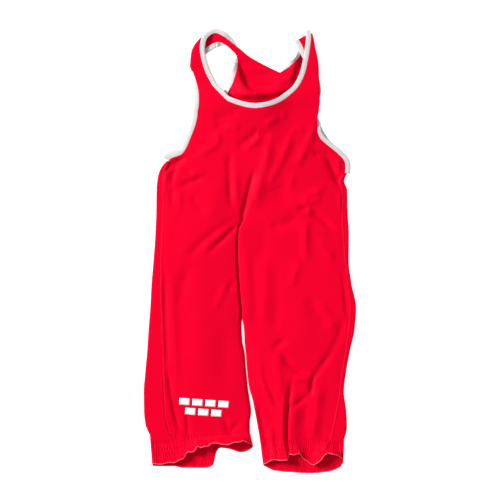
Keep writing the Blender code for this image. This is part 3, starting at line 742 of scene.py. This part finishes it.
def span(start, end):
    """A row of the upper back's columns from each start to each end."""
    return start + np.linspace(0, 1, UPPER_COLUMNS)[:, None] * (end - start)


def back_flat(side, y):
    edges = (read(rows, side, y) for rows in (BACK_ARMHOLE, BACK_CENTRE))
    start, end = (np.column_stack([x, y, np.full(len(y), TABLE_Z)])[:, None] for x in edges)
    return span(start, end)


def back_lift(grid):
    """The grid with its creases, which rise from the table and leave its edges where they are."""
    lift = np.maximum(crease_lift(BACK_CREASES, grid[..., 0], grid[..., 1]), 0)
    lifted = grid.copy()
    lifted[..., 2] += lift * (1 - ease((grid[..., 2] - TABLE_Z) / 2.6))
    return lifted


def back_grids(side):
    """The half of the back on one side: the rows that wrap round the side, and those above the armpit."""
    rows = body_rows()
    wrapped = back_wrap(side, rows[rows <= ARMPIT_Y[side]])
    beside_neck = np.linspace(NECK_BASE_Y, BACK_ARMHOLE[-1].y, NECK_ROWS)[1:]
    body = back_flat(side, np.append(rows[rows > ARMPIT_Y[side]], beside_neck))
    lobe = [span(np.array(row[:3]), np.array(row[3:])) for row in between(LOBES[side], LOBE_ROWS[side])]
    bridge = body[-1] + np.linspace(0, 1, BRIDGE_ROWS + 2)[1:-1, None, None] * (lobe[0] - body[-1])
    flat = [span(wrapped[-1, -BACK_COLUMNS], wrapped[-1, -1])[None], body, bridge, lobe]
    if side == "left":
        flat.append(folded_row(LEFT_STRAP[-1], np.linspace(0, 1, UPPER_COLUMNS))[None])
    return back_lift(wrapped), back_lift(np.concatenate(flat))


# ---- making meshes


def place(points):
    """Garment millimetres to the frame's metres."""
    return (np.asarray(points, float) + (*SHIFT, 0.0)) * MM


def new_mesh(name, points, faces, cloth_map):
    """A mesh of these points. cloth_map says how far each lies across the cloth and along it."""
    mesh = bpy.data.meshes.new(name)
    mesh.from_pydata(place(points).tolist(), [], faces)
    corner = np.empty(len(mesh.loops), np.int32)
    mesh.loops.foreach_get("vertex_index", corner)
    uv = mesh.uv_layers.new(name="cloth")
    uv.data.foreach_set("uv", (cloth_map[corner] * MM).ravel())
    return mesh


def edit(mesh, operator, part, **settings):
    """Runs a bmesh operator on all of the mesh's verts or faces."""
    shape = bmesh.new()
    shape.from_mesh(mesh)
    operator(shape, **{part: getattr(shape, part)}, **settings)
    shape.to_mesh(mesh)
    shape.free()


def link(name, mesh, finish):
    """A piece of the garment. Its finish is a material and the slot that it stands for. The slot is not used.
    """
    material, slot = finish
    obj = bpy.data.objects.new(name, mesh)
    mesh.materials.append(material)
    mesh.shade_smooth()
    bpy.context.scene.collection.objects.link(obj)
    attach(obj, "root")
    return obj


def cloth(name, grids, finish, around=False, thickness=CLOTH, offset=0.0):
    """A piece of cloth made of grids of points, some of them mirrored. around closes their rows."""
    faces, coords = [], []
    base = 0
    for grid, mirrored in grids:
        rows, columns = grid.shape[:2]
        index = np.arange(rows * columns).reshape(rows, columns) + base
        right = np.roll(index, -1, axis=1) if around else index[:, 1:]
        left = index if around else index[:, :-1]
        quads = np.stack([left[:-1], right[:-1], right[1:], left[1:]], axis=-1).reshape(-1, 4)
        faces += (quads[:, ::-1] if mirrored else quads).tolist()
        across = travelled(grid, 1)
        along = np.broadcast_to(travelled(grid[:, columns // 2])[:, None], across.shape)
        coords.append(np.dstack([across[:, -1:] - across, along]).reshape(-1, 2))
        base += rows * columns
    points = np.concatenate([grid.reshape(-1, 3) for grid, _ in grids])
    mesh = new_mesh(name, points, faces, np.concatenate(coords))
    edit(mesh, bmesh.ops.remove_doubles, "verts", dist=WELD * MM)
    obj = link(name, mesh, finish)
    wall = obj.modifiers.new("wall", "SOLIDIFY")
    wall.thickness = thickness * MM
    wall.offset = offset
    return obj


def tubes(name, bundle, finish, closed=False):
    """A piece made of tubes, each of them rings of points, capped at its ends unless it is closed."""
    number, count, sides = bundle.shape[:3]
    index = np.arange(number * count * sides).reshape(number, count, sides)
    nexts = np.roll(index, -1, axis=1) if closed else index[:, 1:]
    these = index if closed else index[:, :-1]
    quads = np.stack([these, np.roll(these, -1, axis=2), np.roll(nexts, -1, axis=2), nexts], axis=-1)
    faces = quads.reshape(-1, 4).tolist()
    if not closed:
        faces += index[:, 0, ::-1].tolist() + index[:, -1].tolist()
    around = travelled(bundle, 2)
    along = np.broadcast_to(travelled(bundle.mean(axis=2), 1)[..., None], around.shape)
    mesh = new_mesh(name, bundle.reshape(-1, 3), faces, np.stack([around, along], axis=-1).reshape(-1, 2))
    edit(mesh, bmesh.ops.recalc_face_normals, "faces")
    return link(name, mesh, finish)


def stitches(name, line, normals, stitch, finish):
    """A row of running stitches along a line, each a bead sunk a little into the cloth."""
    line, normals = resample(line, stitch.pitch, normals)
    starts, normals = line[:-1, None, None], normals[:-1, None, None]
    ways = np.diff(line, axis=0)[:, None, None] * (1 - stitch.gap)
    angles = (np.arange(STITCH_SIDES) * 2 * np.pi / STITCH_SIDES)[:, None]
    out = np.cos(angles) * np.cross(unit(ways), normals) + np.sin(angles) * normals
    share, size = np.array(STITCH_PROFILE).T[..., None, None]
    return tubes(name, starts + share * ways + stitch.radius * size * out, finish)


# ---- bindings


def binding_frame(edge, inside):
    """For each place on an edge: the way out from the cloth, and the way up from its face."""
    along = unit(np.gradient(edge, axis=0))
    away = edge - inside
    across = away - (away * along).sum(axis=1)[:, None] * along
    across = unit(smoothed(unit(across), 3))
    normals = np.cross(along, across)
    return across, normals * (np.sign(np.median(normals[:, 2])) or 1.0)


def binding(name, edge, inside, finishes, tucks=None):
    """A folded binding along a panel's edge, with a row of stitches. tucks, from 0 to 1, push it under."""
    white, thread = finishes
    tucks = np.zeros(len(edge)) if tucks is None else tucks
    edge, inside, tucks = resample(edge, RING_SPACING, inside, tucks)
    edge, inside = smoothed(edge, 3), smoothed(inside, 3)
    across, normals = binding_frame(edge, inside)
    rings, line = [], []
    for number, (point, out, normal, tuck) in enumerate(zip(edge, across, normals, tucks)):
        at = number * RING_SPACING
        width = BINDING_WIDTH * (1 - 0.62 * abs(out[2])) * (1 - 0.5 * tuck) * (1 + 0.02 * math.sin(at / 9))
        start = point - out * (width + 2 * SEAM_GAP) * ease((tuck - DOWN_FIRST) / (1 - DOWN_FIRST))
        start = start - (0, 0, TUCK_DEPTH * ease(tuck / DOWN_FIRST))
        pucker = 1 + 0.06 * math.sin(at * 2 * math.pi / 6.4) + 0.04 * math.sin(at / 3.1)
        half = BINDING_THICK / 2 * (1 - 0.55 * ease(tuck))
        section = np.concatenate([BINDING_TOP * (1, pucker), BINDING_TOP[::-1] * (1, -1)])
        share, up = section.T[..., None]
        ring = start + out * (SEAM_GAP / 2 + share * width) + normal * up * half
        ring[:, 2] += max(OFF_FLOOR - ring[:, 2].min(), 0.0)
        rings.append(ring)
        line.append(start + out * (SEAM_GAP / 2 + STITCH_ACROSS * width) + normal * half * 0.85)
        line[-1][2] = max(line[-1][2], OFF_FLOOR + half)
    obj = tubes(name + "_knit", np.array([rings]), white)
    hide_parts(name)
    seam = stitches(name + "_stitches", line, normals, BINDING_STITCH, thread)
    flat = (round(float(travelled(edge)[-1]) * MM, 3), BINDING_FLAT)


def neck_binding(left, right, finishes):
    base = len(body_rows()) - 1
    edge, inside = (np.concatenate([left[:base:-1, k], right[base:, k]]) for k in (-1, FRONT_INNER))
    near = abs(np.arange(len(edge)) - (len(left) - 1 - base)) < 9
    inside[near] = edge[near] + (0, -3, 0)
    edge, inside = np.vstack([edge, RIGHT_NECK_TIP]), np.vstack([inside, RIGHT_NECK_TIP + (4, 1, 0)])
    binding("front_neck_binding", edge, inside, finishes)


def armhole_binding(side, grid, finishes):
    start = int(np.argmin(abs(body_rows() - ARMPIT_Y[side])))
    edge = grid[start:, 0]
    tucks = np.interp(edge[:, 1], *zip(*ARMHOLE_TUCKS[side]))
    binding(side + "_armhole_front_binding", edge, grid[start:, -1 - FRONT_INNER], finishes, tucks)


def back_bindings(left, right, finishes):
    lobe_rows = LOBE_ROWS["left"] + 1
    places = np.append(np.linspace(0, len(LEFT_LOBE) - 1, lobe_rows), len(LEFT_LOBE))
    arm, neck = (np.interp(places, range(len(LEFT_LOBE) + 1), tucks) for tucks in (ARM_TUCKS, NECK_TUCKS))
    arm = np.concatenate([np.zeros(len(left) - len(arm)), arm])
    binding("left_armhole_back_binding", left[:, 0], left[:, BACK_INNER], finishes, arm)
    lobe = left[-lobe_rows - 1 :][:LEFT_NECK_ROWS]
    edge = np.vstack([lobe[:, -1], LEFT_SHOULDER])
    inside = np.vstack([lobe[:, -1 - BACK_INNER], LEFT_SHOULDER + (5, -4, 0)])
    neck = np.append(neck[:LEFT_NECK_ROWS], (0, 0, 0, 0.3))
    binding("back_neck_left_binding", edge, inside, finishes, neck)
    lobe = right[-LOBE_ROWS["right"] - 1 :]
    vee = np.interp(np.linalg.norm(lobe[:, -1] - lobe[0, -1], axis=1), (0, 9), (1, 0))
    binding("back_neck_right_binding", lobe[:, -1], lobe[:, VEE_INNER], finishes, vee)
    arm = np.interp(right[:, 0, 1], (222, 240), (0, 1))
    binding("right_armhole_back_binding", right[:, 0], right[:, BACK_INNER], finishes, arm)


# ---- leg bands


def band_grid(side):
    """The rings of a leg's band, from its mouth up to the leg: a flattened tube with upright gathers."""
    band = BANDS[side]
    count = GATHER_COLUMNS * band["gathers"] + 1
    turns = np.linspace(0, np.pi, BAND_TURN_STEPS + 2)[1:-1]
    ones, zeros = np.ones(count), np.zeros(count)
    share = [np.linspace(0, 1, count), np.ones(len(turns)), np.linspace(1, 0, count), np.zeros(len(turns))]
    share = np.concatenate(share)
    lift = np.concatenate([ones, 0.5 + 0.5 * np.cos(turns), zeros, 0.5 - 0.5 * np.cos(turns)])
    out = np.concatenate([zeros, np.sin(turns), zeros, -np.sin(turns)])
    ends = [(band[key][0][0] + TURN_RADIUS, band[key][-1][0] - TURN_RADIUS) for key in ("top", "front")]
    top_x, low_x = (low + share * (high - low) for low, high in ends)
    top_y = follow(band["top"], top_x)
    front_y, back_y = (follow(band[key], low_x) for key in ("front", "back"))
    low_y = lift * (front_y + MOUTH_WAVE * np.sin(low_x / 3.1 + 2 * np.sin(low_x / 17))) + (1 - lift) * back_y
    from_side = np.minimum(top_x - ends[0][0], ends[0][1] - top_x)
    seam, inner = read(SIDES, side + "_seam", HEM_Y), read(INSEAMS, side, HEM_Y)
    on_leg = np.clip(top_x, min(seam, inner), max(seam, inner))
    leg_z = front_height(side, on_leg, np.full(on_leg.shape, HEM_Y))
    hem_z = FRONT_Z + ease(from_side / 12) * (leg_z - FRONT_Z)
    grid = []
    for down in np.append(np.linspace(1, BAND_TOP_ROWS[0], BAND_ROWS), BAND_TOP_ROWS[1:]):
        x = top_x + down * (low_x - top_x) + out * TURN_RADIUS
        y = top_y + down * (low_y - top_y)
        rib = gather_rib(side, share, down)
        rise = MOUTH_SWELL * np.sin(9 * share + 1) + follow(band["rise"], low_x) * down**2
        lines = sum(bell((down - at) / 0.03) for at in ELASTIC_LINES)
        creases = crease_lift(CREASES, on_leg, HEM_Y + y - top_y) * ease(from_side / GATHER_FADE)
        low_z = above_back(FRONT_Z + creases) + GATHER_HEIGHT * rib + rise - ELASTIC_DEPTH * lines
        top_side = hem_z + ease(down / 0.5) * (low_z - hem_z) - FRONT_Z
        under_side = UNDER_GATHERS * np.maximum(1 + rib, 0)
        z = TABLE_Z + lift * (FRONT_Z - TABLE_Z) + (out == 0) * np.where(lift > 0.5, top_side, under_side)
        grid.append(np.column_stack([x, y, z]))
    return np.array(grid)


def overlock(name, grid, finish):
    """The thread over the edge of a band's mouth, thicker at each stitch."""
    mouth = smoothed(grid[0], 1)
    down = unit(mouth - grid[1])
    other = 0.8 * np.cross(unit(np.gradient(mouth, axis=0)), down)
    angles = (np.arange(OVERLOCK_SIDES) * 2 * np.pi / OVERLOCK_SIDES)[None, :, None]
    thick = OVERLOCK_RADIUS * (1 + 0.22 * np.sin(travelled(mouth) * 2 * np.pi / OVERLOCK_PITCH))
    ring = np.cos(angles) * down[:, None] + np.sin(angles) * other[:, None]
    rings = mouth[:, None] + thick[:, None, None] * ring
    rings[..., 2] += np.maximum(0.03 - rings[..., 2].min(axis=1), 0)[:, None]
    return tubes(name, rings[None], finish, closed=True)


def leg_band(side, finish, edging):
    name = side + "_leg_band"
    grid = band_grid(side)
    obj = cloth(name + "_knit", [(grid, False)], finish, around=True)
    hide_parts(name)
    edge = overlock(name + "_overlock", grid, edging)


# ---- side seams and print


def side_seam(side, finish, thread):
    """A flatlock seam where front and back meet: a low ridge with two rows of stitches."""
    y = np.linspace(HEM_Y + 1, ARMPIT_Y[side] - 3, 260)
    x = read(SIDES, side + "_seam", y)
    bent = bend_to_hem(side, x, y)
    x = x + 0.25 * np.sin(y / 11) + 0.15 * np.sin(y / 4.3)
    face = FRONT_Z + CLOTH / 2
    across, up = np.array(SEAM_PROFILE).T * [[SEAM_WIDTH], [SEAM_RISE]]
    rings = np.dstack(np.broadcast_arrays(x[:, None] + across, bent[:, None], face + up))
    name = side + "_side_seam"
    ridge = tubes(name, rings[None], finish)
    up = np.tile([0.0, 0.0, 1.0], (len(y), 1))
    for number, offset in enumerate((-0.8, 0.8)):
        line = np.column_stack([x + offset, bent, np.full(len(y), face + SEAM_RISE)])
        row = stitches(f"{name}_stitches_{number}", line, up, SEAM_STITCH, thread)
        row.parent = ridge
        row.matrix_parent_inverse = ridge.matrix_world.inverted()


def print_blocks(finish):
    """Rows of plain blocks, laid like bricks on the face of the left leg."""
    angle = math.radians(PRINT_TILT)
    across, up = np.array([(math.cos(angle), math.sin(angle)), (-math.sin(angle), math.cos(angle))])
    u, v = np.meshgrid(np.linspace(0, BLOCK[0], 9), np.linspace(0, BLOCK[1], 6))
    blocks = []
    for row, count in enumerate(PRINT_ROWS):
        for number in range(count):
            left = (number - count / 2) * (BLOCK[0] + BLOCK_GAP) + BLOCK_GAP / 2
            low = -row * (BLOCK[1] + BLOCK_GAP)
            x, y = np.moveaxis(PRINT_AT + (left + u)[..., None] * across + (low + v)[..., None] * up, -1, 0)
            face = front_height("left", x, y) + CLOTH / 2
            blocks.append((np.dstack([x, y, face + PRINT_LIFT]), False))
    cloth("leg_print", blocks, finish, thickness=PRINT_THICK, offset=-1.0)


# ---- materials


def feed(tree, made, inputs):
    """Links or sets a node's inputs."""
    for key, value in inputs.items():
        if isinstance(value, bpy.types.NodeSocket):
            tree.links.new(value, made.inputs[key])
        else:
            made.inputs[key].default_value = value


def nodes_of(name, colour, roughness, specular, sheen=0.0):
    """A new material's tree and shader. What is even all over is set on the shader's own sockets."""
    made = bpy.data.materials.new(name)
    made.use_nodes = True
    tree = made.node_tree
    shader = tree.nodes["Principled BSDF"]
    feed(tree, shader, {"Base Color": (*colour, 1.0), "Roughness": roughness, "Specular IOR Level": specular,
                        "Sheen Weight": sheen, "Sheen Roughness": 0.4})
    return made, tree, shader


def node(tree, kind, inputs, **settings):
    made = tree.nodes.new("ShaderNode" + kind)
    for key, value in settings.items():
        setattr(made, key, value)
    feed(tree, made, inputs)
    return made


def noise(tree, scale, detail, roughness=0.5):
    at = node(tree, "TexCoord", {}).outputs["Object"]
    inputs = {"Vector": at, "Scale": scale, "Detail": detail, "Roughness": roughness}
    return node(tree, "TexNoise", inputs).outputs[0]


def stretch(tree, value, low, high, to_low=0.0, to_high=1.0):
    return node(tree, "MapRange", {0: value, 1: low, 2: high, 3: to_low, 4: to_high}).outputs[0]


def blend(tree, share, low, high):
    """A colour between two, each a socket or (red, green, blue)."""
    low, high = ((*colour, 1.0) if isinstance(colour, tuple) else colour for colour in (low, high))
    return node(tree, "Mix", {0: share, 6: low, 7: high}, data_type="RGBA").outputs[2]


def ribs(tree, source, axis, pitch):
    """A wave from 0 to 1 that repeats every pitch metres along one axis of the cloth."""
    split = node(tree, "SeparateXYZ", {0: source})
    turns = node(tree, "Math", {0: split.outputs[axis], 1: 2 * math.pi / pitch}, operation="MULTIPLY")
    wave = node(tree, "Math", {0: turns.outputs[0]}, operation="SINE")
    return stretch(tree, wave.outputs[0], -1.0, 1.0)


def dress(tree, shader, colour, height, strength, depth):
    """Gives a shader its colour, and bumps as deep as depth, in metres."""
    bump = node(tree, "Bump", {"Height": height, "Strength": strength, "Distance": depth})
    feed(tree, shader, {"Base Color": colour, "Normal": bump.outputs[0]})


def knit_finish(name, slot, colour, wale, course, strength, roughness=0.42, specular=0.02, sheen=0.0,
                shade=0.92):
    """Knit: wales and courses as bump, with painted shade darkening the cloth between them, and a slow drift
    of colour.
    """
    made, tree, shader = nodes_of(name, colour, roughness, specular, sheen)
    uv = node(tree, "UVMap", {}, uv_map="cloth").outputs[0]
    wales, courses = ribs(tree, uv, 0, wale), ribs(tree, uv, 1, course)
    loops = node(tree, "Math", {0: wales, 1: courses}, operation="MULTIPLY").outputs[0]
    pile = noise(tree, 620.0, 2.0)
    drift = stretch(tree, noise(tree, 9.0, 3.0, 0.6), 0.35, 0.7, 0.0, 0.6)
    # Painted shade: between the loops the colour is darkened by shade.
    shaded_ground = blend(tree, loops, tuple(c * shade for c in colour), colour)
    tinted = blend(tree, drift, shaded_ground, tuple(min(c * 1.06, 1) for c in colour))
    height = node(tree, "Math", {0: loops, 1: pile}, operation="ADD").outputs[0]
    dress(tree, shader, tinted, height, strength, 0.0002)
    feed(tree, shader, {"Roughness": stretch(tree, pile, 0.0, 1.0, roughness - 0.06, roughness + 0.08)})
    return made, slot


def thread_finish(name, slot, colour, specular=0.15):
    made, tree, shader = nodes_of(name, colour, 0.55, specular)
    at = node(tree, "TexCoord", {}).outputs["Object"]
    inputs = {"Vector": at, "Scale": 0.16 / THREAD_PITCH, "Distortion": 1.0}
    twist_bump_and_shade = node(tree, "TexWave", inputs, wave_type="BANDS", bands_direction="DIAGONAL").outputs[1]
    # Bands along the thread are bumps, and painted shade darkens it in their grooves.
    dress(tree, shader, blend(tree, twist_bump_and_shade, tuple(c * 0.75 for c in colour), colour), twist_bump_and_shade, 0.4, 0.0001)
    return made, slot


def print_finish():
    """A heat-pressed film: white, a little worn, with the knit showing through."""
    made, tree, shader = nodes_of("white_print", (0.9, 0.88, 0.89), 0.5, 0.3)
    worn = noise(tree, 420.0, 4.0)
    film = blend(tree, stretch(tree, worn, 0.28, 0.42), (0.86, 0.52, 0.58), (0.92, 0.88, 0.89))
    dress(tree, shader, film, worn, 0.3, 0.0001)
    return made, "white_binding"


# ---- the garment


def garment():
    red = knit_finish("red_stretch_knit", "red_knit", RED, 0.0009, 0.0012, 0.5)
    band = knit_finish("red_gathered_knit", "red_band", RED, 0.0009, 0.0012, 0.6)
    white = knit_finish("white_binding_knit", "white_binding", WHITE, 0.0011, 0.0013, 0.6,
                        roughness=0.65, specular=0.2, sheen=0.1, shade=0.9)
    seam = thread_finish("seam_thread", "red_knit", SEAM_THREAD, specular=0.05)
    edging = thread_finish("overlock_thread", "red_band", OVERLOCK_THREAD)
    bindings = (white, thread_finish("white_thread", "white_binding", WHITE_THREAD))

    fronts = {side: front_grid(side) for side in OUTWARD}
    front = cloth("front_panel_knit", [(fronts["left"], False), (fronts["right"], True)], red)
    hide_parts("front_panel")
    backs = {side: back_grids(side) for side in OUTWARD}
    grids = [(grid, side == "right") for side in backs for grid in backs[side]]
    back = cloth("back_panel_knit", grids, red)
    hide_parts("back_panel")

    neck_binding(fronts["left"], fronts["right"], bindings)
    for side in OUTWARD:
        armhole_binding(side, fronts[side], bindings)
        leg_band(side, band, edging)
        side_seam(side, red, seam)
    back_bindings(backs["left"][1], backs["right"][1], bindings)
    print_blocks(print_finish())


# ---- stage


def area_light(name, place_at, size, power):
    """A square light that faces the garment."""
    data = bpy.data.lights.new(name, "AREA")
    data.size = size
    data.energy = power
    lamp = bpy.data.objects.new(name, data)
    lamp.location = place_at
    lamp.rotation_euler = (-Vector(place_at)).to_track_quat("-Z", "Y").to_euler()
    bpy.context.scene.collection.objects.link(lamp)


def stage():
    scene = bpy.context.scene
    scene.view_settings.view_transform = "Standard"
    made, tree, shader = nodes_of("pale_floor", (0.93, 0.93, 0.93), 0.9, 0.1)
    feed(tree, shader, {"Emission Color": (1, 1, 1, 1), "Emission Strength": FLOOR_GLOW})
    mesh = bpy.data.meshes.new("floor")
    corners = [(x * FLOOR_REACH, y * FLOOR_REACH, 0) for x, y in ((-1, -1), (1, -1), (1, 1), (-1, 1))]
    mesh.from_pydata(corners, [], [(0, 1, 2, 3)])
    mesh.materials.append(made)
    floor = bpy.data.objects.new("floor", mesh)
    scene.collection.objects.link(floor)

    world = bpy.data.worlds.new("studio")
    world.use_nodes = True
    sky = world.node_tree.nodes["Background"]
    feed(world.node_tree, sky, {"Color": (1, 1, 1, 1), "Strength": WORLD_LIGHT})
    scene.world = world
    area_light("key", (-10.8, 4.86, 6.3), 3.6, 3190)
    area_light("fill", (2.6, -1.4, 3.2), 2.4, 18)

    camera = bpy.data.cameras.new("camera")
    camera.sensor_width = 36
    camera.lens = camera.sensor_width * CAMERA_HEIGHT / CAMERA_VIEW
    camera.clip_end = 50
    eye = bpy.data.objects.new("camera", camera)
    eye.location = (SHIFT[0] * MM, SHIFT[1] * MM, CAMERA_HEIGHT + FRONT_Z * MM)
    scene.collection.objects.link(eye)
    scene.camera = eye


garment()
stage()
bpy.context.view_layer.update()
